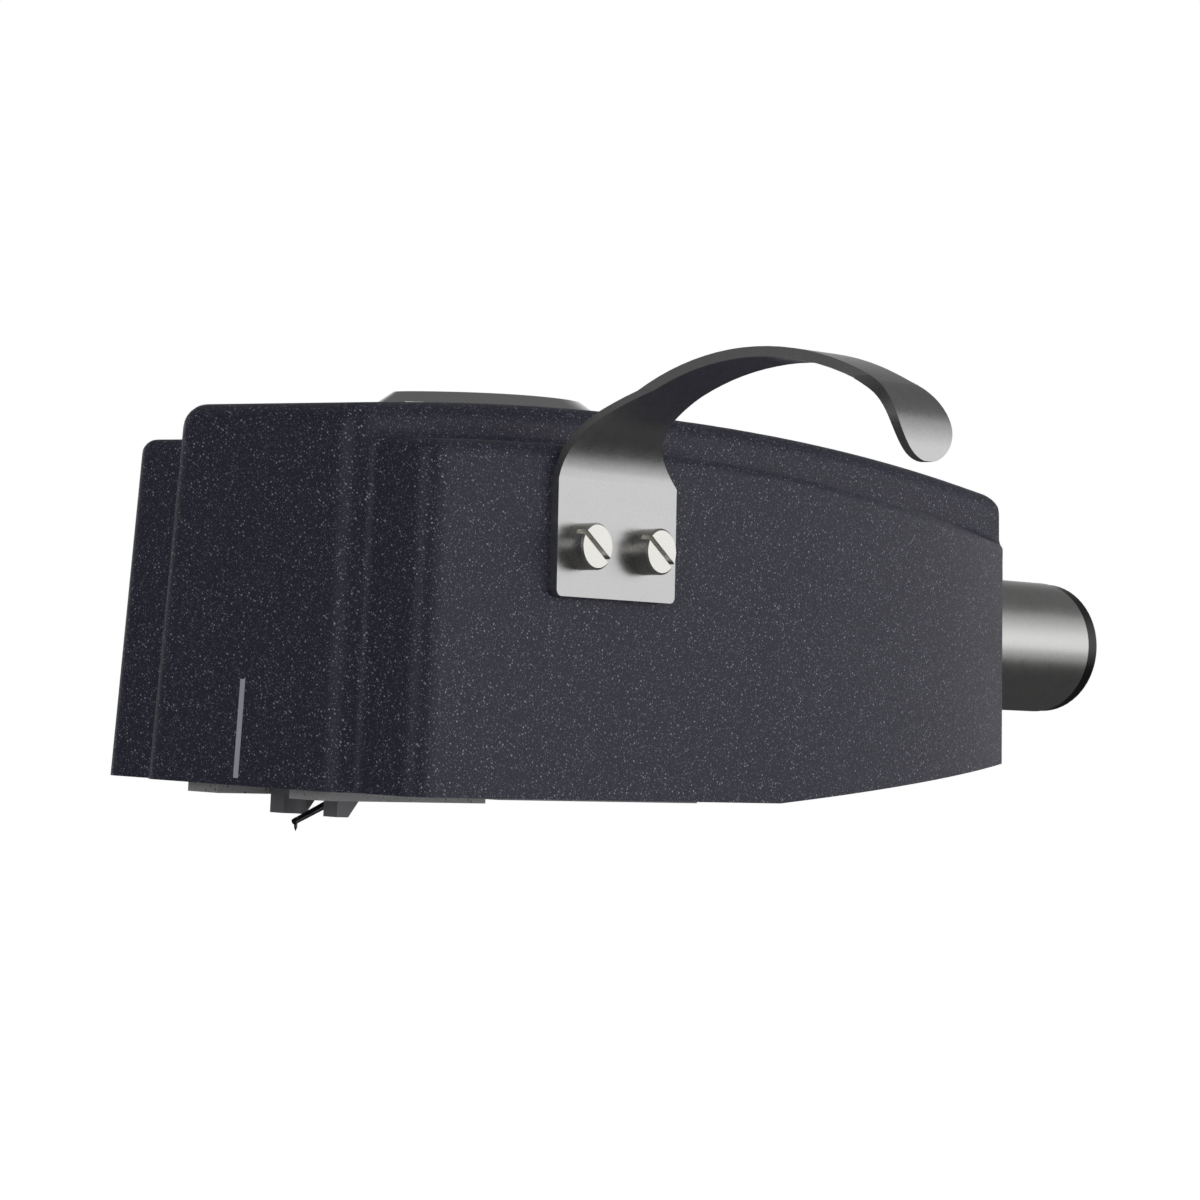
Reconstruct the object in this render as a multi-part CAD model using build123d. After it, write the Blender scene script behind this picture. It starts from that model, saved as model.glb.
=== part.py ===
from build123d import *
import math
import os

# Stylus cartridge with its own headshell, in millimetres.
# Origin: where the arm's collar meets the shell, on the axis of the connector tube.
# The stylus points to -X, the tube to +X, the finger lift stands out to -Y, up is +Z.

# Moulded shell, sizes at its lower rim
rim_z = -9.55
draft = 2.0
shell_height = 26.0
spine_front_x = -56.4
spine_half_width = 7.35
spine_rear_half_width = 5.9
spine_corner_r = 1.5
spine_peak_x = -33.0
spine_peak_z = 10.9
spine_front_arc_r = 228.0
spine_rear_arc_r = 250.0
spine_straight_x = -4.0
spine_top_fillet = 1.3
cheek_setback = 1.24
cheek_half_width = 11.475
cheek_rear_half_width = 6.25
cheek_corner_r = 1.2
rear_corner_r = 1.5
cheek_peak_x = -37.0
cheek_peak_z = 8.6
cheek_front_arc_r = 297.0
cheek_rear_arc_r = 170.0
cheek_straight_x = -21.0
cheek_top_fillet = 0.8
valley_fillet = 0.7
draw_in_x = -27.0
rear_wall_x = 0.55
keel_kink_x = -27.0
keel_rear_z = -7.15

# Hollow of the shell
hollow_front_x = -52.3
hollow_rear_x = -29.4
hollow_half = 5.0
hollow_roof = 2.3
hollow_corner_r = 0.8
duct_rear_x = -10.0
duct_half = 4.0
duct_floor_z = -5.5
duct_roof_z = 5.5
wall_seat_r = 5.5

# Base plates that close the hollow
plate_top_z = -9.2
plate_clearance = 0.1
plate_corner_r = 0.6
front_plate_x = -55.1
front_plate_half = 5.2
front_plate_thickness = 0.86
plate_joint_x = -43.0
plate_joint_gap = 0.1
rear_plate_end_x = -26.6
rear_plate_half = 5.6
rear_plate_thickness = 0.65
plate_screw_front_x = -53.7
plate_screw_rear_x = -28.1
plate_screw_y = 3.9
plate_screw_head_r = 0.85
plate_screw_shank_r = 0.5
plate_screw_length = 3.4
plate_screw_head_h = 0.4
plate_screw_slot = 0.25

# Index line let into the front face
index_length = 5.0
index_width = 0.36
index_above_rim = 0.37
index_depth = 0.15

# Oval badge on the spine
badge_centre_x = -39.15
badge_length = 14.8
badge_width = 8.2
badge_seat = 0.4
badge_clearance = 0.05
badge_glue = 0.02
badge_rise = 0.68
badge_bevel = 55.0
badge_rim_width = 1.3
badge_dish = 0.15

# Finger lift, bent from one strip of sheet
lift_thickness = 0.5
lift_bottom_z = 0.75
lift_plate_front_x = -45.8
lift_plate_rear_x = -36.65
lift_corner_r = 0.35
lift_bend_z = 6.8
lift_bend_r = 3.7
lift_bend_to = 54.0
lift_arch_r = 15.6
lift_arch_to = 117.0
lift_drop_r = 3.4
lift_drop_to = 178.0
lift_end_length = 0.5
lift_centre_x = -41.6
lift_shoulder_z = 6.7
lift_shoulder_cut = 0.85
lift_neck_z = 11.3
lift_neck_x = -41.3
lift_neck_half = 1.9
lift_neck_bow = 0.4
lift_waist_half = 1.52
lift_waist_y = -28.0
lift_narrow_y = -20.0
lift_paddle_r = 2.1
lift_flare_height = 2.0

# Cheese-head screws of the finger lift
lift_screw_x = -43.97
lift_screw_pitch = 4.98
lift_screw_z = 3.3
lift_screw_head_r = 1.2
lift_screw_head_h = 1.1
lift_screw_edge = 0.1
lift_screw_shank_r = 0.8
lift_screw_grip = 3.5
lift_screw_slot = 0.3
lift_screw_slot_depth = 0.6
lift_screw_slot_angle = -37.0
screw_clearance = 0.05

# Connector tube that plugs into the arm
tube_r = 4.0
tube_wall = 0.8
tube_root = 6.0
tube_length = 11.6
washer_gap = 0.05
washer_outer_r = 5.2
washer_thickness = 0.6
key_x = 3.4
key_r = 0.9
key_stand = 1.2
key_root = 0.6
key_edge = 0.2
disc_r = 3.95
disc_thickness = 1.15
disc_edge = 0.3
plug_length = 4.5
plug_gap = 0.02
contact_circle_r = 1.75
contact_r = 0.6
contact_stand = 0.9
contact_tail = 1.6
contact_edge = 0.15

# Moving coil generator, whose axis rises to the rear at the arm's angle
arm_angle = 22.0
arm_length = 7.2
stylus_x = -52.0
stylus_tip_z = -11.85
stylus_below_arm = 0.55
stylus_above_arm = 0.17
stylus_r = 0.09
stylus_point = 0.22
arm_root_r = 0.26
arm_tip_r = 0.16
arm_wall = 0.06
arm_overhang = 0.16
former_half = 0.9
former_thickness = 0.4
former_limb = 0.4
former_hub = 0.7
coil_inner_end = 0.42
coil_outer_end = 0.84
coil_side = 0.68
coil_thickness = 0.6
coil_gap = 0.02
damper_gap = 0.06
damper_r = 0.85
damper_hole_r = 0.32
damper_thickness = 0.9
ferrule_r = 0.22
ferrule_end = 1.05
wire_r = 0.05
wire_gap = 0.03
wire_grip = 1.6
pole_pin_r = 1.0
front_pole_gap = 0.25
front_pole_thickness = 0.9
front_pole_hole_r = 0.6
pole_half_width = 3.5
pole_top = 7.6
tongue_half = 1.5
tongue_top = 0.6
tongue_bottom = -1.0
rear_pole_x = 6.2
rear_pole_thickness = 1.4
rear_pole_bottom = -1.3
magnet_bottom = 2.2

# Moulded carrier of the generator, with the guard either side of the stylus
carrier_front_x = -51.5
carrier_rear_x = -36.6
carrier_half = 4.6
carrier_top_z = -2.2
keel_rear_x = -44.3
keel_bottom_z = -10.06
guard_half = 2.45
guard_clearance = 0.15
guard_step_x = -50.7
guard_ramp_x = -49.9
guard_bottom_z = -10.99
guard_slot_half = 0.65
guard_slot_top = 0.95
guard_scoop_r = 0.8
pocket_gap = 0.05
chamber_depth = 1.4
pin_channel_half = 1.1

# Terminals and leads
terminal_r = 0.35
terminal_root = 1.2
terminal_length = 2.6
terminal_pitch = 1.9
terminal_z = -4.6
lead_r = 0.22
lead_run = 4.0
lead_middle_x = -18.0
lead_entry_x = -8.0
lead_colours = ("white", "red", "green", "blue")

# Sizes that follow from those above
cheek_front_x = spine_front_x + cheek_setback
tube_bore_r = tube_r - tube_wall
pivot_x = stylus_x + arm_length * math.cos(math.radians(arm_angle))
pivot_z = stylus_tip_z + stylus_below_arm + arm_length * math.sin(math.radians(arm_angle))
generator = Pos(pivot_x, 0, pivot_z) * Rot(0, -arm_angle, 0)
damper_x = coil_thickness / 2 + damper_gap
pole_pin_x = damper_x + damper_thickness
front_pole_rear = -(coil_thickness / 2 + front_pole_gap)
front_pole_front = front_pole_rear - front_pole_thickness
rear_pole_end = rear_pole_x + rear_pole_thickness
plug_front_x = tube_length - plug_length


def block(x0, x1, y0, y1, z0, z1):
    """Rectangular block between two corners."""
    centre = ((x0 + x1) / 2, (y0 + y1) / 2, (z0 + z1) / 2)
    return Pos(*centre) * Box(x1 - x0, y1 - y0, z1 - z0)


def rod(r, x0, x1, y=0.0, z=0.0):
    """Round bar along X."""
    return Pos((x0 + x1) / 2, y, z) * Rot(0, 90, 0) * Cylinder(r, x1 - x0)


def post(r, z0, z1, x=0.0, y=0.0):
    """Round bar along Z."""
    return Pos(x, y, (z0 + z1) / 2) * Cylinder(r, z1 - z0)


def arc_drop(reach, r):
    """How far an arc that starts level has dropped at a distance along X."""
    return r - math.sqrt(r * r - reach * reach)


def draw_in(z):
    """How far a drafted wall has drawn in at a height."""
    return (z - rim_z) * math.tan(math.radians(draft))


def cheek_side(z):
    """Half width of the shell across the cheeks, where their sides run straight."""
    return cheek_half_width - draw_in(z)


def keel_z(x):
    """Height of the shell's lower edge, which rises behind the kink."""
    slope = (keel_rear_z - rim_z) / (0 - keel_kink_x)
    return rim_z + max(0, x - keel_kink_x) * slope


# Shell

def plan_outline(front_x, half, rear_half):
    """Plan of the spine or of the cheeks at the rim: straight sides that draw in to the rear."""
    edges = [
        Line((front_x, half), (front_x, -half)),
        Line((front_x, -half), (draw_in_x, -half)),
        TangentArc((draw_in_x, -half), (rear_wall_x, -rear_half), tangent=(1, 0)),
        Line((rear_wall_x, -rear_half), (rear_wall_x, rear_half)),
        TangentArc((draw_in_x, half), (rear_wall_x, rear_half), tangent=(1, 0)),
        Line((draw_in_x, half), (front_x, half)),
    ]
    return make_face(edges)


def plan_blank(front_x, half, rear_half, corner_r):
    """Drafted block on a plan outline, with its front corners rounded."""
    plan = plan_outline(front_x, half, rear_half)
    body = Pos(0, 0, rim_z) * extrude(plan, amount=shell_height, taper=draft)
    upright = body.edges().filter_by(lambda e: abs(e.tangent_at(0).Z) > 0.9).group_by(Axis.X)
    return fillet(upright[0], corner_r)


def rear_corner_cuts():
    """Prisms that round the two rear corners and lean in with the draft."""
    turn = 2 * math.atan2(cheek_half_width - cheek_rear_half_width, rear_wall_x - draw_in_x)
    reach = rear_corner_r * math.tan((math.pi / 2 - turn) / 2)
    lean = math.tan(math.radians(draft))
    cuts = []
    for side in (-1, 1):
        corner = Vector(rear_wall_x, side * cheek_rear_half_width)
        along = Vector(-math.cos(turn), side * math.sin(turn))
        out = Vector(math.sin(turn), side * math.cos(turn))
        wall = corner - Vector(0, side * reach)
        flank = corner + along * reach
        edges = [
            TangentArc(wall, flank, tangent=(0, side)),
            Line(flank, flank + out),
            Line(flank + out, corner + Vector(1, side)),
            Line(corner + Vector(1, side), wall + Vector(1, 0)),
            Line(wall + Vector(1, 0), wall),
        ]
        way = (-lean, -side * lean * math.tan((math.pi / 2 - turn) / 2), 1)
        cuts.append(Pos(0, 0, rim_z) * extrude(make_face(edges), amount=shell_height, dir=way))
    return cuts


def side_mask(peak_x, peak_z, front_r, rear_r, straight_x):
    """Side view, drawn right across: a top of two arcs with a straight end behind, over the lower edge."""
    x0 = spine_front_x - 1
    x1 = rear_wall_x + 1
    top0 = peak_z - arc_drop(peak_x - x0, front_r)
    bend_z = peak_z - arc_drop(straight_x - peak_x, rear_r)
    slope = (straight_x - peak_x) / (bend_z - peak_z + rear_r)
    top1 = bend_z - (x1 - straight_x) * slope
    edges = [
        Line((x0, rim_z), (keel_kink_x, rim_z)),
        Line((keel_kink_x, rim_z), (x1, keel_z(x1))),
        Line((x1, keel_z(x1)), (x1, top1)),
        Line((x1, top1), (straight_x, bend_z)),
        TangentArc((peak_x, peak_z), (straight_x, bend_z), tangent=(1, 0)),
        TangentArc((peak_x, peak_z), (x0, top0), tangent=(-1, 0)),
        Line((x0, top0), (x0, rim_z)),
    ]
    face = Plane.XZ * make_face(edges)
    return extrude(face, amount=2 * cheek_half_width, both=True)


def spine_mask(rise):
    """Side view of the spine with its top raised or lowered a little."""
    peak_z = spine_peak_z + rise
    return side_mask(spine_peak_x, peak_z, spine_front_arc_r, spine_rear_arc_r, spine_straight_x)


def cheek_mask():
    """Side view of the cheeks."""
    return side_mask(cheek_peak_x, cheek_peak_z, cheek_front_arc_r, cheek_rear_arc_r, cheek_straight_x)


def top_edges(body):
    """Edges round the upward faces, without the seam between them."""
    upward = [face for face in body.faces() if face.normal_at().Z > 0.9]
    rims = [edge for face in upward for edge in face.edges()]
    return [edge for edge in rims if sum(edge.is_same(other) for other in rims) == 1]


def shell_form():
    """Outer form: a tall spine between two lower cheeks, with moulded radii."""
    spine = plan_blank(spine_front_x, spine_half_width, spine_rear_half_width, spine_corner_r)
    spine = spine & spine_mask(0)
    spine = fillet(top_edges(spine), spine_top_fillet)
    cheeks = plan_blank(cheek_front_x, cheek_half_width, cheek_rear_half_width, cheek_corner_r)
    cheeks = cheeks & cheek_mask()
    ahead = [edge for edge in top_edges(cheeks) if edge.center().X < rear_wall_x - rear_corner_r]
    cheeks = fillet(ahead, cheek_top_fillet)
    body = spine + cheeks
    body = fillet(valley_edges(spine, cheeks, body), valley_fillet)
    return body - rear_corner_cuts()


def valley_edges(spine, cheeks, body):
    """Hollow edges where the cheeks grow out of the spine."""
    reach = spine_half_width + 0.1
    found = []
    for edge in new_edges(spine, cheeks, combined=body):
        box = edge.bounding_box()
        inside = max(abs(box.min.Y), abs(box.max.Y)) < reach
        above_rim = box.max.Z > rim_z + 0.01
        if inside and above_rim and box.min.X < draw_in(spine_peak_z) - 1.2:
            found.append(edge)
    return found


def shell_hollow():
    """Chamber for the generator, the lead duct behind it and the seat of the tube."""
    roof = spine_peak_z - hollow_roof
    chamber = block(hollow_front_x, hollow_rear_x, -hollow_half, hollow_half, rim_z - 1, roof)
    chamber = fillet(chamber.edges().filter_by(Axis.Z), hollow_corner_r)
    duct = block(hollow_rear_x - 1, duct_rear_x, -duct_half, duct_half, duct_floor_z, duct_roof_z)
    mouth = rod(tube_bore_r, duct_rear_x - 1, 0)
    seat = rod(tube_r, -tube_root, rear_wall_x + 1)
    face = rod(wall_seat_r, 0, rear_wall_x + 1)
    return chamber + duct + mouth + seat + face


def plate_seat():
    """Shallow recess that both base plates lie in."""
    gap = plate_clearance
    half = front_plate_half + gap
    front = block(front_plate_x - gap, plate_joint_x, -half, half, rim_z - 1, plate_top_z)
    half = rear_plate_half + gap
    rear = block(plate_joint_x - gap, rear_plate_end_x + gap, -half, half, rim_z - 1, plate_top_z)
    return front + rear


def front_face_frame():
    """Frame on the drafted front face: Z along the outward normal, Y up the face."""
    lean = math.radians(draft)
    return Plane(
        origin=(spine_front_x, 0, rim_z),
        x_dir=(0, -1, 0),
        z_dir=(-math.cos(lean), 0, math.sin(lean)),
    )


def index_strip():
    """Paint-filled groove on the front face, over the stylus."""
    middle = index_above_rim + index_length / 2
    bar = Pos(0, middle, -index_depth / 2) * Box(index_width, index_length, index_depth)
    return front_face_frame() * bar


def badge_frame():
    """Frame on the spine's crown under the middle of the badge, Z outward."""
    reach = badge_centre_x - spine_peak_x
    lean = math.asin(reach / spine_front_arc_r)
    z = spine_peak_z - arc_drop(reach, spine_front_arc_r)
    return Plane(
        origin=(badge_centre_x, 0, z),
        x_dir=(math.cos(lean), 0, -math.sin(lean)),
        z_dir=(math.sin(lean), 0, math.cos(lean)),
    )


def badge_column(inset):
    """Oval column that stands square to the crown, inset from the badge's outline."""
    oval = Ellipse(badge_length / 2 - inset, badge_width / 2 - inset)
    return badge_frame() * extrude(oval, amount=2 * badge_rise, both=True)


def badge():
    """Oval badge plate with a broad bevel: it follows the crown and has a dished, bare face."""
    oval = Ellipse(badge_length / 2, badge_width / 2)
    foot = extrude(oval, amount=-2 * badge_seat)
    bevelled = extrude(oval, amount=1.2 * badge_rise, taper=badge_bevel)
    plate = badge_frame() * (foot + bevelled) & spine_mask(badge_rise)
    plate = plate - spine_mask(-badge_seat)
    dish = badge_column(badge_rim_width) - spine_mask(badge_rise - badge_dish)
    return plate - dish


def badge_seat_cut():
    """Recess in the spine for the badge."""
    return badge_column(-badge_clearance) - spine_mask(-badge_seat - badge_glue)


def shell():
    """Moulded shell with every seat and hole that its pieces need."""
    body = shell_form() - shell_hollow() - plate_seat()
    body -= index_strip()
    body -= badge_seat_cut()
    body -= [screw_hole(frame, lift_screw_shank_r, lift_screw_grip) for frame in lift_screw_frames()]
    body -= [screw_hole(frame, plate_screw_shank_r, plate_screw_length) for frame in plate_screw_frames()]
    return body


def screw_hole(frame, shank_r, depth):
    """Blind hole under a screw, into the shell."""
    r = shank_r + screw_clearance
    length = depth + 2 * screw_clearance
    return frame * Pos(0, 0, -length / 2) * Cylinder(r, length)


# Base plates and their screws

def plate_screw_frames():
    """Frames on the plate seat at each screw, Z down out of the shell."""
    spots = [(x, side * plate_screw_y) for x in (plate_screw_front_x, plate_screw_rear_x) for side in (-1, 1)]
    return [Plane(origin=(x, y, plate_top_z), z_dir=(0, 0, -1)) for x, y in spots]


def countersink(frame, thickness, extra):
    """Clearance for one screw through a plate: its shank and its sunk head."""
    shank = Pos(0, 0, thickness / 2) * Cylinder(plate_screw_shank_r + screw_clearance, thickness + 1)
    top_r = plate_screw_head_r + extra
    low_r = plate_screw_shank_r + extra
    cone = Pos(0, 0, thickness - plate_screw_head_h / 2) * Cone(low_r, top_r, plate_screw_head_h)
    return frame * (shank + cone)


def base_plate(x0, x1, half, thickness, frames):
    """Flat plate with rounded corners and countersunk holes."""
    plate = block(x0, x1, -half, half, plate_top_z - thickness, plate_top_z)
    plate = fillet(plate.edges().filter_by(Axis.Z), plate_corner_r)
    for frame in frames:
        plate -= countersink(frame, thickness, screw_clearance)
    return plate


def front_base_plate():
    """Front plate, notched round the carrier's keel and guard."""
    x1 = plate_joint_x - plate_joint_gap
    frames = plate_screw_frames()[:2]
    plate = base_plate(front_plate_x, x1, front_plate_half, front_plate_thickness, frames)
    half = guard_half + guard_clearance
    rear_x = keel_rear_x + guard_clearance
    notch = block(front_plate_x - 1, rear_x, -half, half, guard_bottom_z, plate_top_z + 1)
    return plate - notch


def rear_base_plate():
    """Rear plate, thinner than the front one."""
    frames = plate_screw_frames()[2:]
    return base_plate(plate_joint_x, rear_plate_end_x, rear_plate_half, rear_plate_thickness, frames)


def plate_screw(frame, thickness):
    """Slotted countersunk screw."""
    head_low = thickness - plate_screw_head_h
    shank_length = plate_screw_length + head_low
    shank = Pos(0, 0, head_low - shank_length / 2) * Cylinder(plate_screw_shank_r, shank_length)
    head_z = thickness - plate_screw_head_h / 2
    head = Pos(0, 0, head_z) * Cone(plate_screw_shank_r, plate_screw_head_r, plate_screw_head_h)
    slot = Pos(0, 0, thickness) * Box(2 * plate_screw_head_r, plate_screw_slot, plate_screw_slot)
    return frame * (shank + head - slot)


def plate_screws():
    """Four screws: the front pair, then the rear pair."""
    thicknesses = (front_plate_thickness, front_plate_thickness, rear_plate_thickness, rear_plate_thickness)
    return [plate_screw(frame, t) for frame, t in zip(plate_screw_frames(), thicknesses)]


# Finger lift and its screws

def lift_path(outset):
    """Side view of one face of the strip, as distance out from the middle and height.

    outset is 0 for the face towards the finger and the sheet's thickness for the other.
    """
    lean = math.radians(draft)
    foot = cheek_side(lift_bottom_z) + (lift_thickness - outset) / math.cos(lean)
    bend = cheek_side(lift_bend_z) + (lift_thickness - outset) / math.cos(lean)
    plate = Line((foot, lift_bottom_z), (bend, lift_bend_z))
    neck = JernArc(plate @ 1, plate % 1, lift_bend_r + outset, -(lift_bend_to + draft))
    arch = JernArc(neck @ 1, neck % 1, lift_arch_r + outset, lift_bend_to - lift_arch_to)
    drop = JernArc(arch @ 1, arch % 1, lift_drop_r + outset, lift_arch_to - lift_drop_to)
    end = Line(drop @ 1, drop @ 1 + (drop % 1) * lift_end_length)
    return [plate, neck, arch, drop, end]


def lift_side_view():
    """Closed side view of the bent strip."""
    inner = lift_path(0)
    outer = lift_path(lift_thickness)
    tip = Line(inner[-1] @ 1, outer[-1] @ 1)
    foot = Line(inner[0] @ 0, outer[0] @ 0)
    return make_face(inner + outer + [tip, foot])


def lift_root_outline():
    """Front view of the plate and neck: a sharp shoulder behind, a swept one in front."""
    front_x = lift_neck_x - lift_neck_half
    rear_x = lift_neck_x + lift_neck_half
    cut_x = lift_plate_rear_x - lift_shoulder_cut
    cut_z = lift_shoulder_z + lift_shoulder_cut
    middle_z = (lift_shoulder_z + lift_neck_z) / 2
    front_mid = ((lift_plate_front_x + front_x) / 2 - lift_neck_bow, middle_z)
    rear_mid = ((cut_x + rear_x) / 2 - lift_neck_bow, (cut_z + lift_neck_z) / 2)
    top = spine_peak_z + lift_neck_z
    edges = [
        Line((lift_plate_front_x, lift_bottom_z - 1), (lift_plate_rear_x, lift_bottom_z - 1)),
        Line((lift_plate_rear_x, lift_bottom_z - 1), (lift_plate_rear_x, lift_shoulder_z)),
        Line((lift_plate_rear_x, lift_shoulder_z), (cut_x, cut_z)),
        ThreePointArc((cut_x, cut_z), rear_mid, (rear_x, lift_neck_z)),
        Line((rear_x, lift_neck_z), (rear_x, top)),
        Line((rear_x, top), (front_x, top)),
        Line((front_x, top), (front_x, lift_neck_z)),
        ThreePointArc((front_x, lift_neck_z), front_mid, (lift_plate_front_x, lift_shoulder_z)),
        Line((lift_plate_front_x, lift_shoulder_z), (lift_plate_front_x, lift_bottom_z - 1)),
    ]
    return make_face(edges)


def lift_paddle_outline():
    """Front view of the drop: a waist that swells into a round paddle."""
    tip_z = (lift_path(0)[-1] @ 1).Y
    centre_z = tip_z + lift_paddle_r
    waist_z = centre_z + lift_flare_height
    top = spine_peak_z + lift_neck_z
    edges = [
        ThreePointArc((-lift_paddle_r, centre_z), (0, tip_z), (lift_paddle_r, centre_z)),
        TangentArc((lift_paddle_r, centre_z), (lift_waist_half, waist_z), tangent=(0, 1)),
        Line((lift_waist_half, waist_z), (lift_waist_half, top)),
        Line((lift_waist_half, top), (-lift_waist_half, top)),
        Line((-lift_waist_half, top), (-lift_waist_half, waist_z)),
        TangentArc((-lift_paddle_r, centre_z), (-lift_waist_half, waist_z), tangent=(0, 1)),
    ]
    return Pos(lift_centre_x, 0) * make_face(edges)


def lift_blank():
    """Solid whose plan and front views bound the strip's edges."""
    wide_y = cheek_half_width - 2
    far_y = lift_path(0)[-1] @ 1
    root = Plane.XZ * lift_root_outline()
    root = Pos(0, -wide_y, 0) * extrude(root, amount=-lift_narrow_y - wide_y)
    points = [
        (lift_neck_x - lift_neck_half, lift_narrow_y),
        (lift_neck_x + lift_neck_half, lift_narrow_y),
        (lift_centre_x + lift_waist_half, lift_waist_y),
        (lift_centre_x - lift_waist_half, lift_waist_y),
    ]
    middle = extrude(make_face(Polyline(*points, close=True)), amount=spine_peak_z + lift_neck_z)
    paddle = Plane.XZ * lift_paddle_outline()
    paddle = Pos(0, lift_waist_y, 0) * extrude(paddle, amount=far_y.X + 1 + lift_waist_y)
    return root + middle + paddle


def finger_lift():
    """Finger lift: one strip of sheet bent over in an arch, with two screw holes."""
    frame = Plane(origin=(lift_centre_x, 0, 0), x_dir=(0, -1, 0), z_dir=(-1, 0, 0))
    width = lift_plate_rear_x - lift_plate_front_x
    strip = extrude(frame * lift_side_view(), amount=width, both=True)
    strip = strip & lift_blank()
    for screw in lift_screw_frames():
        strip -= screw * Cylinder(lift_screw_shank_r + screw_clearance, 4 * lift_thickness)
    corners = strip.edges().filter_by(lambda e: abs(e.tangent_at(0).Y) > 0.9)
    return fillet(corners.group_by(Axis.Z)[0], lift_corner_r)


def lift_screw_frames():
    """Frames on the cheek's drafted side at each screw, Z outward, Y up the wall."""
    lean = math.radians(draft)
    normal = (0, -math.cos(lean), math.sin(lean))
    places = [lift_screw_x + n * lift_screw_pitch for n in range(2)]
    y = -cheek_side(lift_screw_z)
    return [Plane(origin=(x, y, lift_screw_z), x_dir=(1, 0, 0), z_dir=normal) for x in places]


def lift_screw(frame):
    """Slotted cheese-head screw through the finger lift's plate."""
    head_z = lift_thickness + lift_screw_head_h / 2
    head = Pos(0, 0, head_z) * Cylinder(lift_screw_head_r, lift_screw_head_h)
    head = chamfer(head.edges().group_by(Axis.Z)[-1], lift_screw_edge)
    length = lift_screw_grip + lift_thickness
    shank = Pos(0, 0, lift_thickness - length / 2) * Cylinder(lift_screw_shank_r, length)
    top = lift_thickness + lift_screw_head_h
    slot = Box(3 * lift_screw_head_r, lift_screw_slot, 2 * lift_screw_slot_depth)
    slot = Pos(0, 0, top) * Rot(0, 0, lift_screw_slot_angle) * slot
    return frame * (head + shank - slot)


# Connector

def contact_places():
    """Centres of the four contacts, in the plane across the tube."""
    reach = contact_circle_r * math.sin(math.radians(45))
    return [(-reach, -reach), (-reach, reach), (reach, reach), (reach, -reach)]


def connector_tube():
    """Metal tube, rooted in the shell, with a hole for its locating key."""
    tube = rod(tube_r, -tube_root, tube_length)
    tube -= rod(tube_bore_r, -tube_root - 1, tube_length + 1)
    return tube - locating_key()


def locating_key():
    """Round key that stands on top of the tube, for the arm's slot."""
    key = post(key_r, tube_r - key_root, tube_r + key_stand, key_x)
    return fillet(key.edges().group_by(Axis.Z)[-1], key_edge)


def rubber_washer():
    """Washer between the shell and the arm."""
    ring = rod(washer_outer_r, 0, washer_thickness)
    return ring - rod(tube_r + washer_gap, -1, washer_thickness + 1)


def insulator():
    """Black end piece: a rim disc and the plug that holds the contacts."""
    disc = rod(disc_r, tube_length, tube_length + disc_thickness)
    disc = fillet(disc.edges().group_by(Axis.X)[-1], disc_edge)
    body = disc + rod(tube_bore_r - plug_gap, plug_front_x, tube_length)
    for y, z in contact_places():
        body -= rod(contact_r, plug_front_x - 1, tube_length + disc_thickness + 1, y, z)
    return body


def contact(y, z):
    """Contact pin through the insulator."""
    end_x = tube_length + disc_thickness + contact_stand
    pin = rod(contact_r, plug_front_x - contact_tail, end_x, y, z)
    return chamfer(pin.edges().group_by(Axis.X)[-1], contact_edge)


# Generator, in its own frame: X up its axis to the rear, origin at the pivot

def stylus():
    """Diamond: an upright shank with a conical point."""
    top = stylus_tip_z + stylus_below_arm + stylus_above_arm
    neck = stylus_tip_z + stylus_point
    shank = post(stylus_r, neck, top, stylus_x)
    point = Pos(stylus_x, 0, stylus_tip_z + stylus_point / 2) * Cone(0, stylus_r, stylus_point)
    return shank + point


def cantilever():
    """Tapered tube from the armature to the stylus, closed at its tip."""
    x0 = -arm_length - arm_overhang
    x1 = former_thickness / 2
    length = x1 - x0
    outer = Pos((x0 + x1) / 2, 0, 0) * Rot(0, 90, 0) * Cone(arm_tip_r, arm_root_r, length)
    bore_start = -arm_length + 4 * stylus_r
    bore_length = x1 - bore_start
    bore = Cone(arm_tip_r - arm_wall, arm_root_r - arm_wall, bore_length)
    bore = Pos((bore_start + x1) / 2, 0, 0) * Rot(0, 90, 0) * bore
    return generator * (outer - bore) - stylus()


def limb(angle, x_size, side, r0, r1):
    """Bar that stands out from the pivot across the axis, turned about it."""
    bar = Pos(0, 0, (r0 + r1) / 2) * Box(x_size, side, r1 - r0)
    return Rot(angle, 0, 0) * bar


def armature_former():
    """Cross of four limbs at 45 degrees round a hub, bored for the cantilever."""
    cross = Box(former_thickness, former_hub, former_hub)
    for angle in (45, 135, 225, 315):
        cross += limb(angle, former_thickness, former_limb, 0, former_half)
    cross -= rod(arm_root_r, -former_thickness, former_thickness)
    return generator * cross


def coil(angle):
    """One channel's winding: a bobbin of wire on each of two opposite limbs."""
    halves = []
    for turn in (angle, angle + 180):
        wound = limb(turn, coil_thickness, coil_side, coil_inner_end, coil_outer_end)
        core = limb(turn, former_thickness + coil_gap, former_limb + coil_gap, 0, former_half)
        halves.append(generator * (wound - core))
    return halves


def suspension_ferrule():
    """Crimped sleeve that ties the armature to the suspension wire."""
    return generator * rod(ferrule_r, former_thickness / 2, ferrule_end)


def damper():
    """Rubber ring between the armature and the pole pin."""
    ring = rod(damper_r, damper_x, damper_x + damper_thickness)
    return generator * (ring - rod(damper_hole_r, 0, damper_x + 2 * damper_thickness))


def suspension_wire():
    """Steel tie wire, held in the end of the pole pin."""
    return generator * rod(wire_r, ferrule_end + wire_gap, pole_pin_x + wire_grip)


def pole_pin():
    """Round pole from the rear plate to the damper, drilled for the tie wire."""
    pin = rod(pole_pin_r, pole_pin_x, rear_pole_end)
    return generator * (pin - rod(wire_r, 0, pole_pin_x + wire_grip))


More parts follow.
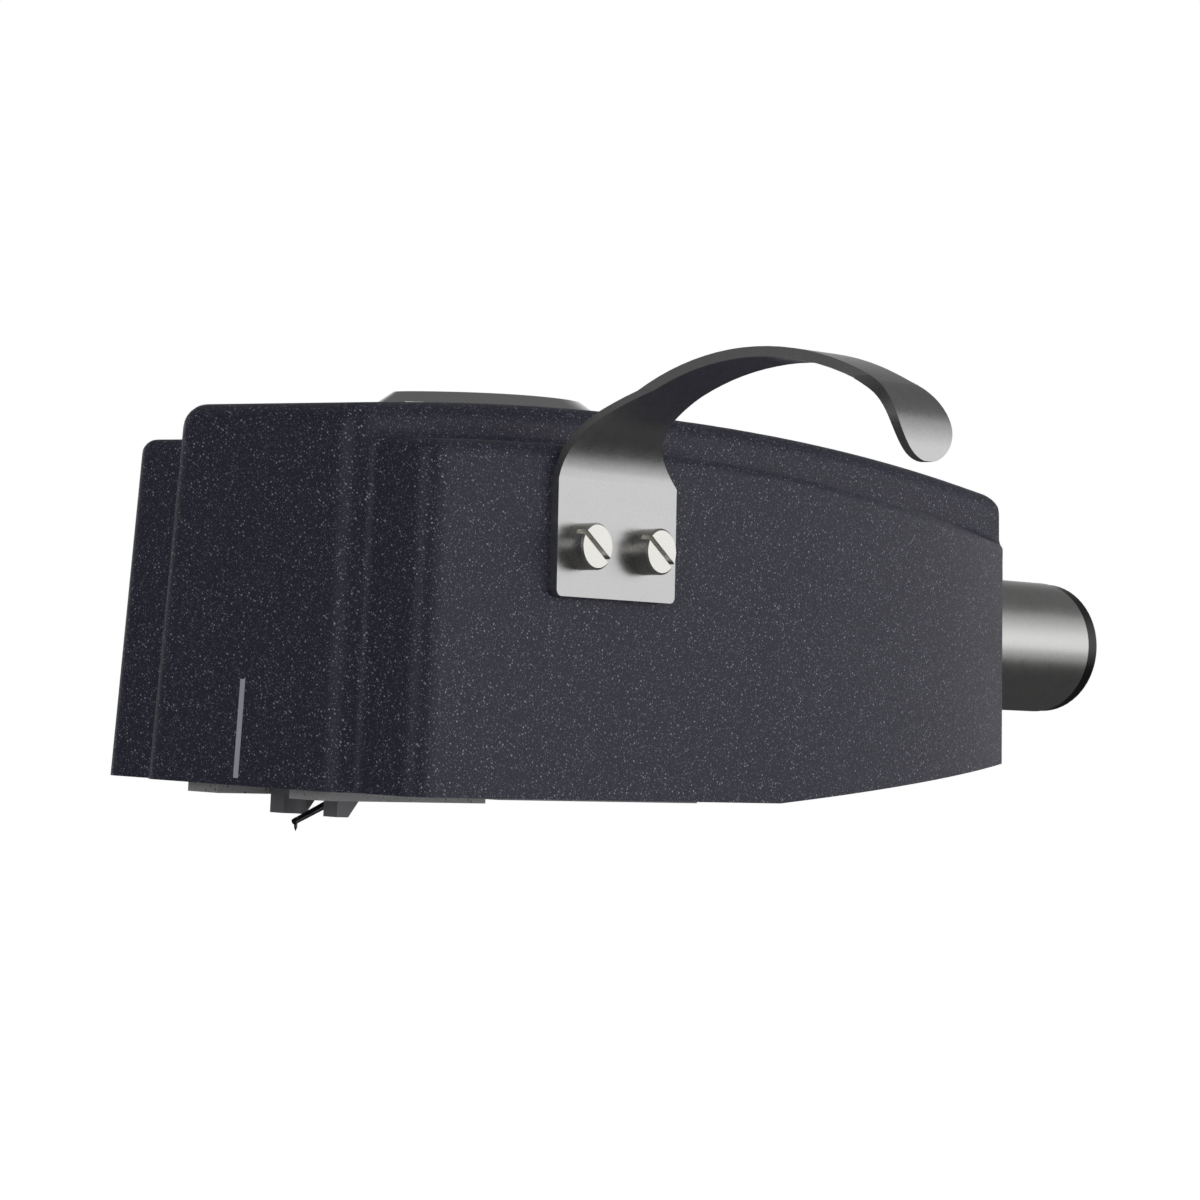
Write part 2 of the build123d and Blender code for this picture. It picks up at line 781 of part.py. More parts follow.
def front_pole():
    """Front pole plate, with a tongue that reaches below the cantilever."""
    half = pole_half_width
    plate = block(front_pole_front, front_pole_rear, -half, half, tongue_top, pole_top)
    plate += block(front_pole_front, front_pole_rear, -tongue_half, tongue_half, tongue_bottom, tongue_top)
    return generator * (plate - rod(front_pole_hole_r, front_pole_front - 1, 0))


def rear_pole():
    """Rear pole plate, bored for the pole pin."""
    half = pole_half_width
    plate = block(rear_pole_x, rear_pole_end, -half, half, rear_pole_bottom, pole_top)
    return generator * (plate - rod(pole_pin_r, 0, rear_pole_end + 1))


def magnet():
    """Bar magnet between the two pole plates."""
    half = pole_half_width
    return generator * block(front_pole_rear, rear_pole_x, -half, half, magnet_bottom, pole_top)


def carrier_pocket():
    """Space in the carrier for the magnet system and the swing of the armature."""
    gap = pocket_gap
    x0 = front_pole_front - gap
    x1 = rear_pole_end + gap
    half = pole_half_width + gap
    high = 2 * pole_top
    upper = block(x0, x1, -half, half, tongue_top - gap, high)
    tongue = tongue_half + gap
    chamber = block(x0, chamber_depth, -tongue, tongue, tongue_bottom - gap, high)
    channel = block(0, rear_pole_x, -pin_channel_half, pin_channel_half, -pin_channel_half, high)
    rear = block(rear_pole_x - gap, x1, -half, half, rear_pole_bottom - gap, high)
    slot = block(-2 * arm_length, 0, -guard_slot_half, guard_slot_half, -arm_length, guard_slot_top)
    slot = fillet(slot.edges().filter_by(Axis.X).group_by(Axis.Z)[-1], guard_slot_half / 2)
    return generator * (upper + chamber + channel + rear + slot)


def guard_scoops():
    """Hollow radii that open the slot towards the front of the guard."""
    length = plate_top_z - guard_bottom_z
    z = (plate_top_z + guard_bottom_z) / 2
    scoops = []
    for side in (-1, 1):
        y = side * guard_slot_half
        scoops.append(Pos(carrier_front_x, y, z - guard_scoop_r) * Cylinder(guard_scoop_r, length))
    return scoops


def generator_carrier():
    """Moulded carrier: a tray for the magnet system, its keel, and the stylus guard."""
    tray = block(carrier_front_x, carrier_rear_x, -carrier_half, carrier_half, plate_top_z, carrier_top_z)
    points = [
        (carrier_front_x, plate_top_z),
        (carrier_front_x, guard_bottom_z),
        (guard_step_x, guard_bottom_z),
        (guard_ramp_x, keel_bottom_z),
        (keel_rear_x, keel_bottom_z),
        (keel_rear_x, plate_top_z),
    ]
    keel = Plane.XZ * make_face(Polyline(*points, close=True))
    body = tray + extrude(keel, amount=guard_half, both=True)
    body -= carrier_pocket()
    body -= guard_scoops()
    body -= [terminal(y) for y in terminal_places()]
    return body


def terminal_places():
    """Places across the carrier of the four terminals."""
    return [(n - 1.5) * terminal_pitch for n in range(4)]


def terminal(y):
    """Terminal pin in the carrier's rear wall."""
    return rod(terminal_r, carrier_rear_x - terminal_root, carrier_rear_x + terminal_length, y, terminal_z)


# Leads

def lead(y, end):
    """Lead from a terminal to a contact: straight runs joined by tangent arcs."""
    start_x = carrier_rear_x + terminal_length
    end_x = plug_front_x - contact_tail
    end_y, end_z = end
    points = [
        (start_x, y, terminal_z),
        (start_x + lead_run, y, terminal_z),
        (lead_middle_x, (y + end_y) / 2, (terminal_z + end_z) / 2),
        (lead_entry_x, end_y, end_z),
        (end_x, end_y, end_z),
    ]
    route = FilletPolyline(*points, radius=lead_radii(points))
    section = Plane(origin=points[0], z_dir=(1, 0, 0)) * Circle(lead_r)
    return sweep(section, path=route)


def lead_radii(points):
    """Radius at each bend: as large as the shorter of its two runs allows."""
    radii = []
    for before, corner, after in zip(points, points[1:], points[2:]):
        a = Vector(corner) - Vector(before)
        b = Vector(after) - Vector(corner)
        run = min(a.length, b.length)
        radii.append(0.45 * run / math.tan(math.radians(a.get_angle(b) / 2)))
    return radii


def leads():
    """The four leads, each from its terminal to its contact."""
    order = sorted(contact_places())
    return [lead(y, end) for y, end in zip(terminal_places(), order)]


def all_pieces():
    """Every node: its name and its solid or solids."""
    pieces = {
        "shell": shell(),
        "front_base_plate": front_base_plate(),
        "rear_base_plate": rear_base_plate(),
        "base_plate_screws": plate_screws(),
        "index_line": index_strip(),
        "badge": badge(),
        "finger_lift": finger_lift(),
        "finger_lift_screws": [lift_screw(frame) for frame in lift_screw_frames()],
        "connector_tube": connector_tube(),
        "locating_key": locating_key(),
        "rubber_washer": rubber_washer(),
        "insulator": insulator(),
        "generator_carrier": generator_carrier(),
        "magnet": magnet(),
        "front_pole": front_pole(),
        "rear_pole": rear_pole(),
        "pole_pin": pole_pin(),
        "damper": damper(),
        "suspension_wire": suspension_wire(),
        "suspension_ferrule": suspension_ferrule(),
        "armature_former": armature_former(),
        "coil_left": coil(45),
        "coil_right": coil(135),
        "cantilever": cantilever(),
        "stylus": stylus(),
    }
    for number, (y, z) in enumerate(contact_places(), start=1):
        pieces[f"contact_{number}"] = contact(y, z)
    for number, y in enumerate(terminal_places(), start=1):
        pieces[f"terminal_{number}"] = terminal(y)
    for colour, wire in zip(lead_colours, leads()):
        pieces[f"lead_{colour}"] = wire
    return pieces


def main():
    """Write one STEP file for each node."""
    os.makedirs("parts", exist_ok=True)
    for name, piece in all_pieces().items():
        solids = piece if isinstance(piece, list) else [piece]
        export_step(Compound(children=solids), os.path.join("parts", name + ".step"))


if __name__ == "__main__":
    main()
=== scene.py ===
"""Looks of a stylus cartridge with its own headshell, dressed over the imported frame."""
import logging
import math
from dataclasses import dataclass
from enum import Enum
from typing import Any

import bpy
from mathutils import Matrix, Vector

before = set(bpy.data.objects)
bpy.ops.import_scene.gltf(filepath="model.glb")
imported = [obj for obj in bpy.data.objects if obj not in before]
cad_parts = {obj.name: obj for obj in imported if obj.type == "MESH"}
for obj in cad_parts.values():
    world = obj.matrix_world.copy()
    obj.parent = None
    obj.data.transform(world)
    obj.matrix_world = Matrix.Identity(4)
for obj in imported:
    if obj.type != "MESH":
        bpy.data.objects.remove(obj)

log = logging.getLogger("cartridge")
MM = 0.001
Colour = tuple[float, float, float]
WHITE: Colour = (1.0, 1.0, 1.0)


class Wire:
    """A shader socket that takes part in Python expressions.

    Args:
        graph: The graph that the socket belongs to.
        socket: The output socket.
    """

    def __init__(self, graph: "Graph", socket: bpy.types.NodeSocket) -> None:
        self.graph = graph
        self.socket = socket

    def _join(self, operation: str, first: Any, second: Any) -> "Wire":
        """Add one maths node.

        Args:
            operation: The node's operation.
            first: Left operand.
            second: Right operand.

        Returns:
            The result, as a number or as a vector, whichever the operands are.
        """
        kind = "ShaderNodeVectorMath" if self.graph.is_vector(first, second) else "ShaderNodeMath"
        return self.graph.node(kind, {"operation": operation}, {0: first, 1: second})[0]

    def __add__(self, other: Any) -> "Wire":
        """Sum."""
        return self._join("ADD", self, other)

    def __radd__(self, other: Any) -> "Wire":
        """Sum, reflected."""
        return self._join("ADD", other, self)

    def __sub__(self, other: Any) -> "Wire":
        """Difference."""
        return self._join("SUBTRACT", self, other)

    def __rsub__(self, other: Any) -> "Wire":
        """Difference, reflected."""
        return self._join("SUBTRACT", other, self)

    def __mul__(self, other: Any) -> "Wire":
        """Product."""
        return self._join("MULTIPLY", self, other)

    def __rmul__(self, other: Any) -> "Wire":
        """Product, reflected."""
        return self._join("MULTIPLY", other, self)

    def dot(self, other: Any) -> "Wire":
        """Dot product with a vector."""
        settings = {"operation": "DOT_PRODUCT"}
        return self.graph.node("ShaderNodeVectorMath", settings, {0: self, 1: other})["Value"]

    def rise(self, low: float, high: float) -> "Wire":
        """Smooth step from 0 at low to 1 at high; low above high turns it round."""
        settings = {"interpolation_type": "SMOOTHSTEP"}
        sockets = {"Value": self, "From Min": low, "From Max": high}
        return self.graph.node("ShaderNodeMapRange", settings, sockets)["Result"]

    def axis(self, name: str) -> "Wire":
        """One axis of a vector, X, Y or Z."""
        return self.graph.node("ShaderNodeSeparateXYZ", {}, {0: self})[name]


class Outputs:
    """The outputs of one node, by name or by number.

    Args:
        graph: The graph that the node belongs to.
        node: The node.
    """

    def __init__(self, graph: "Graph", node: bpy.types.Node) -> None:
        self.graph = graph
        self.node = node

    def __getitem__(self, key: str | int) -> Wire:
        """One output as a wire."""
        return Wire(self.graph, self.node.outputs[key])


class Graph:
    """Builds one node tree by expressions.

    Args:
        tree: The node tree of a material or of the world.
    """

    def __init__(self, tree: bpy.types.NodeTree) -> None:
        self.tree = tree
        tree.nodes.clear()

    @staticmethod
    def is_vector(*values: Any) -> bool:
        """Whether any operand is a vector or a colour."""
        for value in values:
            if isinstance(value, Wire) and value.socket.type in ("VECTOR", "RGBA"):
                return True
            if isinstance(value, tuple):
                return True
        return False

    def node(
        self, kind: str, settings: dict[str, Any] | None = None, sockets: dict[Any, Any] | None = None
    ) -> Outputs:
        """Add a node, its settings first and then its sockets.

        Args:
            kind: The node's type.
            settings: Attributes of the node, such as a maths node's operation.
            sockets: Values or wires by socket name or number.

        Returns:
            The node's outputs.
        """
        made = self.tree.nodes.new(kind)
        for name, value in (settings or {}).items():
            setattr(made, name, value)
        for key, value in (sockets or {}).items():
            self.feed(made.inputs[key], value)
        return Outputs(self, made)

    def feed(self, socket: bpy.types.NodeSocket, value: Any) -> None:
        """Give an input socket a wire or a constant.

        Args:
            socket: The input.
            value: A wire, a number, a vector or a colour.
        """
        if isinstance(value, Wire):
            self.tree.links.new(value.socket, socket)
        elif socket.type == "RGBA":
            socket.default_value = (*value, 1.0)
        else:
            socket.default_value = value

    def mix(self, factor: Any, first: Any, second: Any) -> Wire:
        """Blend two colours.

        Args:
            factor: 0 for the first colour, 1 for the second.
            first: Colour or wire.
            second: Colour or wire.

        Returns:
            The blended colour.
        """
        return self.node("ShaderNodeMix", {"data_type": "RGBA"}, {0: factor, 6: first, 7: second})[2]

    def place(self) -> Wire:
        """Position in the object's own frame, in metres."""
        return self.node("ShaderNodeTexCoord")["Object"]

    def noise(self, where: Wire, size: float, detail: float = 2.0, rough: float = 0.5) -> Wire:
        """Soft random field.

        Args:
            where: Position in metres.
            size: Size of its patches, in metres.
            detail: Number of finer layers.
            rough: Strength of the finer layers.

        Returns:
            A value round 0.5.
        """
        sockets = {"Vector": where, "Scale": 1.0 / size, "Detail": detail, "Roughness": rough}
        return self.node("ShaderNodeTexNoise", {}, sockets)[0]

    def turned(self, where: Wire, angle: float) -> Wire:
        """Position turned about a slanting axis, so that no face lies along a texture's own planes.

        Args:
            where: Position in metres.
            angle: Angle of the turn, in radians.

        Returns:
            The turned position.
        """
        sockets = {"Vector": where, "Axis": (0.48, 0.62, 0.62), "Angle": angle}
        return self.node("ShaderNodeVectorRotate", {"rotation_type": "AXIS_ANGLE"}, sockets)["Vector"]

    def cells(self, where: Wire, size: float) -> Outputs:
        """Random cells: Distance from each cell's point, and Color that differs by cell."""
        return self.node("ShaderNodeTexVoronoi", {}, {"Vector": where, "Scale": 1.0 / size})

    def bump(self, height: Any, depth: float, strength: float = 1.0) -> Wire:
        """Surface normal of a height field.

        Args:
            height: Height from 0 to 1.
            depth: Depth of that range, in metres.
            strength: Share of the effect.

        Returns:
            The normal.
        """
        sockets = {"Height": height, "Distance": depth, "Strength": strength}
        return self.node("ShaderNodeBump", {}, sockets)["Normal"]


class Grain(Enum):
    """Direction in which a metal's fine lines run."""

    TUMBLED = (1.0, 1.0, 1.0)
    TURNED = (1.0, 0.04, 0.04)
    DRAWN = (0.05, 1.0, 1.0)


@dataclass(frozen=True)
class Finish:
    """Base of every finish: one principled surface with its constants.

    Args:
        colour: Base colour.
        roughness: Middle roughness.
        metallic: 1 for a metal.
        coat: Weight of a clear coat.
        specular: Level of the plain reflection.
        mottle_size: Size of the faint patches, in metres.
        pore_size: Size of the surface's pores, in metres.
        pore_depth: Depth of the pores, in metres.
    """

    colour: Colour
    roughness: float = 0.5
    metallic: float = 0.0
    coat: float = 0.0
    specular: float = 0.5
    mottle_size: float = 1.5 * MM
    pore_size: float = 0.12 * MM
    pore_depth: float = 0.004 * MM

    def material(self, name: str) -> bpy.types.Material:
        """Build the material.

        Args:
            name: The material's name.

        Returns:
            The finished material.
        """
        made = bpy.data.materials.new(name)
        made.use_nodes = True
        graph = Graph(made.node_tree)
        base, rough, normal = self.surface(graph)
        sockets = {
            "Base Color": base, "Roughness": rough, "Metallic": self.metallic,
            "Coat Weight": self.coat, "Specular IOR Level": self.specular,
        }
        if normal is not None:
            sockets["Normal"] = normal
        shader = graph.node("ShaderNodeBsdfPrincipled", {}, sockets)
        graph.node("ShaderNodeOutputMaterial", {}, {"Surface": shader["BSDF"]})
        return made

    def surface(self, graph: Graph) -> tuple[Any, Any, Any]:
        """Colour, roughness and normal of the surface; a plain one with faint mottling."""
        where = graph.place()
        patch = graph.noise(where, self.mottle_size, 4.0)
        base = graph.mix(patch, self.colour, tuple(1.12 * c for c in self.colour))
        rough = self.roughness + (patch - 0.5) * 0.12
        return base, rough, graph.bump(graph.noise(where, self.pore_size, 2.0), self.pore_depth)


@dataclass(frozen=True)
class SpeckledResin(Finish):
    """Moulding with pale flakes under a satin skin.

    Args:
        fleck: Colour of the flakes.
        fleck_size: Mean spacing of the flakes, in metres.
        fleck_share: Share of the spacing that holds a flake.
        fleck_strength: How strongly the flakes show.
        dust_scale: Spacing of the finest flakes, as a share of the mean.
        coarse_scale: Spacing of the coarsest flakes, as a share of the mean.
        ground_size: Size of the ground's faint patches, in metres.
        skin_size: Size of the skin's unevenness, in metres.
        skin_depth: Depth of the skin's unevenness, in metres.
    """

    fleck: Colour = (0.5, 0.5, 0.55)
    fleck_size: float = 0.16 * MM
    fleck_share: float = 0.8
    fleck_strength: float = 0.6
    dust_scale: float = 0.6
    coarse_scale: float = 1.7
    ground_size: float = 3.0 * MM
    skin_size: float = 0.35 * MM
    skin_depth: float = 0.006 * MM

    def flecks(self, graph: Graph, where: Wire, size: float, share: float) -> Wire:
        """Round flakes of mixed brightness.

        Args:
            graph: The material's graph.
            where: Position in metres.
            size: Mean spacing, in metres.
            share: Share of the cells that hold a flake.

        Returns:
            1 in the middle of a bright flake, 0 between flakes.
        """
        cell = graph.cells(where, size)
        luck = cell["Color"].axis("X")
        radius = cell["Color"].axis("Y") * 0.16 + 0.26
        spot = (radius - cell["Distance"]).rise(0.0, 0.12)
        return spot * luck.rise(1.0 - share, 1.0)

    def surface(self, graph: Graph) -> tuple[Any, Any, Any]:
        """Dark ground, three sizes of flake and a faintly uneven satin skin."""
        where = graph.place()
        lighter = tuple(1.15 * c for c in self.colour)
        ground = graph.mix(graph.noise(where, self.ground_size, 3.0), self.colour, lighter)
        dust_size = self.dust_scale * self.fleck_size
        coarse_size = self.coarse_scale * self.fleck_size
        dust = self.flecks(graph, graph.turned(where, 2.1), dust_size, 0.8)
        fine = self.flecks(graph, graph.turned(where, 0.7), self.fleck_size, self.fleck_share)
        coarse = self.flecks(graph, graph.turned(where, 1.3), coarse_size, 0.5 * self.fleck_share)
        amount = (dust * 0.3 + fine * 0.7 + coarse) * self.fleck_strength
        base = graph.mix(amount, ground, self.fleck)
        skin = graph.noise(where, self.skin_size, 3.0)
        rough = self.roughness + (skin - 0.5) * 0.15 - amount * 0.08
        return base, rough, graph.bump(skin + fine * 0.3, self.skin_depth)


@dataclass(frozen=True)
class SatinMetal(Finish):
    """Metal with a fine grain, faint stains and small scratches.

    Args:
        grain: Direction of the fine lines.
        grain_size: Width of a line or speck, in metres.
        contrast: How strongly the grain shows.
        depth: Depth of the grain, in metres.
        cloud_size: Size of the faint stains, in metres.
        scratch_size: Width of a scratch, in metres.
        scratch_run: How far the scratches draw out along each axis; less is longer.
    """

    metallic: float = 1.0
    grain: Grain = Grain.TUMBLED
    grain_size: float = 0.05 * MM
    contrast: float = 0.25
    depth: float = 0.0015 * MM
    cloud_size: float = 1.2 * MM
    scratch_size: float = 0.12 * MM
    scratch_run: tuple[float, float, float] = (0.25, 1.0, 2.5)

    def surface(self, graph: Graph) -> tuple[Any, Any, Any]:
        """Grain, cloudy tone and wear lines."""
        where = graph.place()
        grain = graph.noise(where * self.grain.value, self.grain_size, 3.0, 0.6)
        cloud = graph.noise(where, self.cloud_size, 4.0, 0.6)
        scratch = graph.noise(where * self.scratch_run, self.scratch_size, 2.0).rise(0.68, 0.78)
        tone = (grain - 0.5) * self.contrast + (cloud - 0.5) * (0.6 * self.contrast) + 1.0
        base = tone * self.colour
        rough = self.roughness + (grain - 0.5) * 0.2 + (cloud - 0.5) * 0.1 - scratch * 0.06
        return base, rough, graph.bump(grain - scratch * 0.5, self.depth)


@dataclass(frozen=True)
class Winding(Finish):
    """Layer of fine enamelled wire.

    Args:
        pitch: Spacing of the turns, in metres.
        turn_depth: Depth between two turns, in metres.
    """

    metallic: float = 1.0
    pitch: float = 0.05 * MM
    turn_depth: float = 0.01 * MM

    def surface(self, graph: Graph) -> tuple[Any, Any, Any]:
        """Rows of turns, with painted shade darkening the grooves between them."""
        where = graph.place()
        turns = graph.node("ShaderNodeTexWave", {"wave_profile": "SIN"}, {
            "Vector": where, "Scale": 0.314 / self.pitch, "Distortion": 0.6, "Detail": 1.0})[1]
        # painted shade: the colour falls to 0.45 of itself in the grooves between turns, following the
        # bump's wave
        base = graph.mix(turns, tuple(0.45 * c for c in self.colour), self.colour)
        return base, self.roughness + (turns - 0.5) * 0.2, graph.bump(turns, self.turn_depth)


@dataclass
class Camera:
    """The photograph's own viewpoint, recovered from the tube and the shell's outline."""

    place: Vector = Vector((-0.20461, -0.155785, -0.00379))
    right: Vector = Vector((0.6631, -0.7471, 0.0467))
    up: Vector = Vector((-0.0464, 0.0212, 0.9987))
    lens: float = 127.59
    sensor_width: float = 36.0
    nearest: float = 0.01
    farthest: float = 20.0

    def build(self) -> None:
        """Make the camera and set it as the scene's own."""
        data = bpy.data.cameras.new("view")
        data.lens = self.lens
        data.sensor_width = self.sensor_width
        data.clip_start = self.nearest
        data.clip_end = self.farthest
        eye = bpy.data.objects.new("view", data)
        right = self.right.normalized()
        back = right.cross(self.up).normalized()
        up = back.cross(right)
        turn = Matrix((right, up, back)).transposed().to_4x4()
        eye.matrix_world = Matrix.Translation(self.place) @ turn
        bpy.context.collection.objects.link(eye)
        bpy.context.scene.camera = eye
        log.info("camera at %s", tuple(self.place))


@dataclass
class Lamp:
    """One soft lamp.

    Args:
        name: The lamp's name.
        offset: Place from the object's middle, in metres.
        size: Width and height, in metres.
        level: Brightness that a facing white surface gets from it.
    """

    name: str
    offset: Vector
    size: tuple[float, float]
    level: float

    def build(self, target: Vector) -> None:
        """Make the lamp.

        Args:
            target: The point that it faces.
        """
        data = bpy.data.lights.new(self.name, "AREA")
        data.shape = "RECTANGLE"
        data.size, data.size_y = self.size
        data.energy = self.level * math.pi ** 2 * self.offset.length_squared
        lamp = bpy.data.objects.new(self.name, data)
        lamp.location = target + self.offset
        lamp.rotation_mode = "QUATERNION"
        lamp.rotation_quaternion = (-self.offset).to_track_quat("-Z", "Y")
        bpy.context.collection.objects.link(lamp)


@dataclass
class Studio:
    """Pale floor, surrounding light and two soft lamps."""

    middle: Vector = Vector((-0.022, 0.0, 0.0))
    floor_z: float = -0.45
    floor_reach: float = 6.0
    toward_camera: Colour = (-0.747, -0.664, -0.02)
    toward_left: Colour = (-0.747, 0.664, 0.0)
    light_level: float = 0.72
    dimmed_above: float = 0.82
    dimmed_below: float = 0.78
    dimmed_behind_camera: float = 0.85
    dimmed_far_left: float = 0.8
    floor_dark: Colour = (0.78, 0.78, 0.78)
    floor_pale: Colour = (0.82, 0.82, 0.82)
    floor_in_reflections: Colour = (0.28, 0.28, 0.28)

    def build(self) -> None:
        """Make the floor, the world and the lamps."""
        self.world()
        self.floor()
        Lamp("side_box", Vector((0.22, -0.42, 0.10)), (0.80, 0.50), 0.22).build(self.middle)
        Lamp("front_box", Vector((-0.42, -0.12, 0.12)), (0.30, 0.30), 0.16).build(self.middle)
        log.info("studio ready")

    def world(self) -> None:
        """Band of light at eye level, dimmer above, below, far to the left and behind the camera."""
        world = bpy.data.worlds.new("studio")
        bpy.context.scene.world = world
        world.use_nodes = True
        graph = Graph(world.node_tree)
        way = graph.node("ShaderNodeTexCoord")["Generated"]
        height = way.axis("Z")
        above = height.rise(0.12, 0.5)
        below = height.rise(-0.02, -0.3)
        behind_camera = way.dot(self.toward_camera).rise(0.35, 0.95)
        far_left = way.dot(self.toward_left).rise(0.45, 0.9)
        upright = (1 - above * self.dimmed_above) * (1 - below * self.dimmed_below)
        around = 1 - behind_camera * self.dimmed_behind_camera
        band = upright * around * (1 - far_left * self.dimmed_far_left)
        seen = graph.node("ShaderNodeLightPath")["Is Camera Ray"]
        level = band * self.light_level * (1 - seen) + seen
        shader = graph.node("ShaderNodeBackground", {}, {"Color": graph.mix(level, (0.0, 0.0, 0.0), WHITE)})
        graph.node("ShaderNodeOutputWorld", {}, {"Surface": shader["Background"]})

    def floor(self) -> None:
        """Pale floor far below the part, white to the camera and dim in its reflections."""
        half = self.floor_reach
        corners = [(-half, -half, 0), (half, -half, 0), (half, half, 0), (-half, half, 0)]
        mesh = bpy.data.meshes.new("floor")
        mesh.from_pydata(corners, [], [(0, 1, 2, 3)])
        floor = bpy.data.objects.new("floor", mesh)
        floor.location = (self.middle.x, self.middle.y, self.floor_z)
        bpy.context.collection.objects.link(floor)
        material = bpy.data.materials.new("floor")
        material.use_nodes = True
        graph = Graph(material.node_tree)
        path = graph.node("ShaderNodeLightPath")
        seen = path["Is Camera Ray"]
        tone = graph.noise(graph.place(), 0.2, 2.0)
        pale = graph.mix(tone, self.floor_dark, self.floor_pale)
        base = graph.mix(path["Is Glossy Ray"], pale, self.floor_in_reflections)
        shader = graph.node("ShaderNodeBsdfPrincipled", {}, {
            "Base Color": base, "Roughness": 0.9, "Emission Color": seen * WHITE, "Emission Strength": 1.0})
        graph.node("ShaderNodeOutputMaterial", {}, {"Surface": shader["BSDF"]})
        mesh.materials.append(material)


@dataclass
class Assembly:
    """A group of nodes that are finished together."""

    name: str = "assembly"

    def finishes(self) -> dict[str, tuple[Finish, tuple[str, ...]]]:
        """Each finish by its material name, with the nodes that wear it."""
        return {}

    def dress(self) -> None:
        """Put each finish on its nodes."""
        for label, (finish, nodes) in self.finishes().items():
            material = finish.material(label)
            for node in nodes:
                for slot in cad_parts[node].material_slots:
                    slot.material = material
                log.info("%s: %s in %s", self.name, node, label)


@dataclass
class Shell(Assembly):
    """Moulded shell, badge and index line."""

    name: str = "shell"

    def finishes(self) -> dict[str, tuple[Finish, tuple[str, ...]]]:
        """Speckled resin, polished badge and painted line."""
        resin = SpeckledResin(
            (0.044, 0.044, 0.075), 0.44, specular=0.3, fleck=(0.84, 0.86, 1.0), fleck_size=0.09 * MM)
        chrome = SatinMetal((0.80, 0.80, 0.80), 0.07, contrast=0.03, depth=0.0002 * MM)
        return {
            "charcoal_resin": (resin, ("shell",)),
            "polished_chrome": (chrome, ("badge",)),
            "index_paint": (Finish((0.74, 0.75, 0.84), 0.5), ("index_line",)),
        }


@dataclass
class BasePlates(Assembly):
    """The two plates under the shell and their screws."""

    name: str = "base plates"

    def finishes(self) -> dict[str, tuple[Finish, tuple[str, ...]]]:
        """Speckled and plain grey plates, satin screws."""
        speckled = SpeckledResin((0.74, 0.74, 0.75), 0.5, fleck=(0.06, 0.06, 0.06), fleck_size=0.16 * MM)
        return {
            "speckled_plate": (speckled, ("front_base_plate",)),
            "plain_plate": (Finish((0.76, 0.76, 0.77), 0.5), ("rear_base_plate",)),
            "plate_screw_steel": (SatinMetal((0.55, 0.55, 0.54), 0.32), ("base_plate_screws",)),
        }


@dataclass
class FingerLift(Assembly):
    """Bent finger lift and its two screws."""

    name: str = "finger lift"

    def finishes(self) -> dict[str, tuple[Finish, tuple[str, ...]]]:
        """Tumbled steel and nickel."""
        steel = SatinMetal((0.60, 0.60, 0.60), 0.31, grain_size=0.12 * MM, contrast=0.35)
        return {
            "tumbled_steel": (steel, ("finger_lift",)),
            "nickel": (SatinMetal((0.80, 0.79, 0.75), 0.28, contrast=0.12), ("finger_lift_screws",)),
        }


@dataclass
class Connector(Assembly):
    """Tube, key, washer, insulator and contacts."""

    name: str = "connector"

    def finishes(self) -> dict[str, tuple[Finish, tuple[str, ...]]]:
        """Turned metal, rubber, black moulding and gold."""
        turned = SatinMetal(
            (0.66, 0.66, 0.65), 0.30, grain=Grain.TURNED, grain_size=0.03 * MM, contrast=0.18)
        contacts = tuple(f"contact_{n}" for n in range(1, 5))
        return {
            "turned_metal": (turned, ("connector_tube",)),
            "key_metal": (SatinMetal((0.6, 0.6, 0.59), 0.3), ("locating_key",)),
            "washer_rubber": (Finish((0.014, 0.014, 0.014), 0.7), ("rubber_washer",)),
            "black_moulding": (Finish((0.008, 0.008, 0.009), 0.3), ("insulator",)),
            "contact_gold": (SatinMetal((0.78, 0.55, 0.22), 0.22, contrast=0.06), contacts),
        }


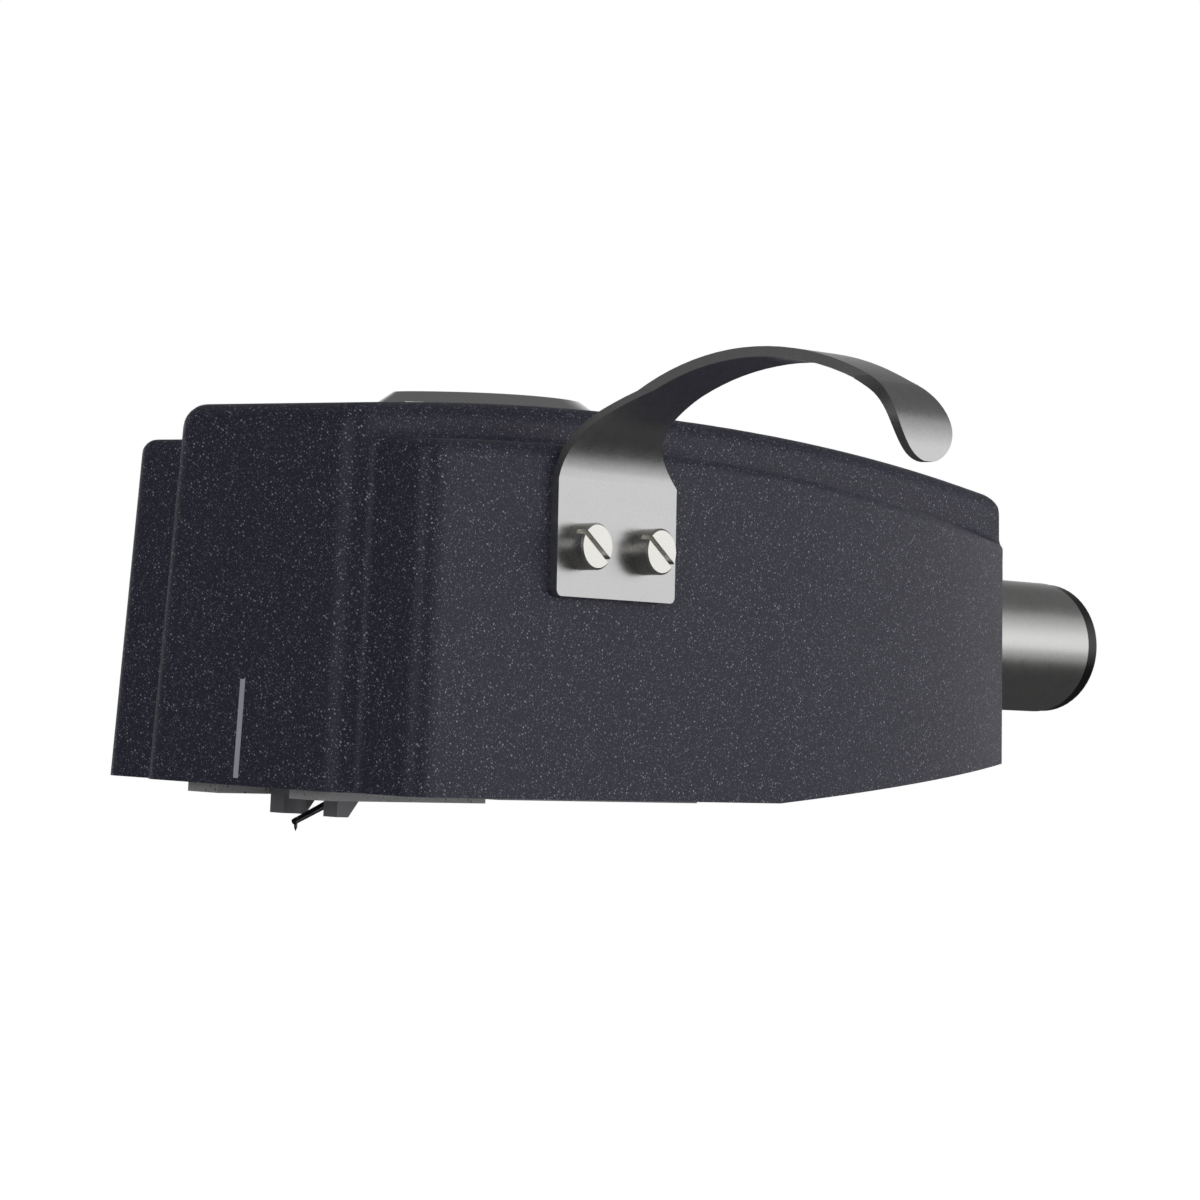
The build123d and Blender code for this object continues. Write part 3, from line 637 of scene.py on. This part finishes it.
@dataclass
class Generator(Assembly):
    """Carrier, magnet system and the moving arm."""

    name: str = "generator"

    def finishes(self) -> dict[str, tuple[Finish, tuple[str, ...]]]:
        """Grey moulding, soft iron, rubber, copper and the dark arm."""
        iron = SatinMetal((0.24, 0.235, 0.23), 0.42, grain_size=0.08 * MM)
        return {
            "grey_moulding": (Finish((0.32, 0.32, 0.34), 0.45), ("generator_carrier",)),
            "plated_magnet": (SatinMetal((0.42, 0.42, 0.43), 0.3), ("magnet",)),
            "soft_iron": (iron, ("front_pole", "rear_pole", "pole_pin")),
            "former_iron": (SatinMetal((0.30, 0.29, 0.28), 0.4), ("armature_former",)),
            "damper_rubber": (Finish((0.02, 0.02, 0.02), 0.6), ("damper",)),
            "spring_wire": (SatinMetal((0.55, 0.55, 0.54), 0.28, grain=Grain.DRAWN), ("suspension_wire",)),
            "ferrule_brass": (SatinMetal((0.62, 0.47, 0.24), 0.3), ("suspension_ferrule",)),
            "enamelled_copper": (Winding((0.72, 0.30, 0.13), 0.3), ("coil_left", "coil_right")),
            "dark_anodised": (SatinMetal((0.10, 0.10, 0.11), 0.3, grain=Grain.DRAWN), ("cantilever",)),
            "diamond": (Finish((0.06, 0.06, 0.07), 0.06, coat=1.0), ("stylus",)),
        }


@dataclass
class Wiring(Assembly):
    """Terminals and the four coloured leads."""

    name: str = "wiring"

    def finishes(self) -> dict[str, tuple[Finish, tuple[str, ...]]]:
        """Tinned pins and coloured sleeves."""
        terminals = tuple(f"terminal_{n}" for n in range(1, 5))
        sleeves = {
            "white": (0.72, 0.72, 0.70), "red": (0.50, 0.02, 0.02),
            "green": (0.02, 0.28, 0.07), "blue": (0.02, 0.07, 0.40),
        }
        found: dict[str, tuple[Finish, tuple[str, ...]]] = {
            "tinned": (SatinMetal((0.62, 0.62, 0.60), 0.35), terminals),
        }
        for shade, colour in sleeves.items():
            found[f"sleeve_{shade}"] = (Finish(colour, 0.45), (f"lead_{shade}",))
        return found


def set_view() -> None:
    """Plain view transform."""
    bpy.context.scene.view_settings.view_transform = "Standard"


def main() -> None:
    """Build the scene in order."""
    logging.basicConfig(level=logging.INFO, format="%(name)s: %(message)s")
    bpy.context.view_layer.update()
    set_view()
    Camera().build()
    Studio().build()
    for part in (Shell(), BasePlates(), FingerLift(), Connector(), Generator(), Wiring()):
        part.dress()


if __name__ == "__main__":
    main()
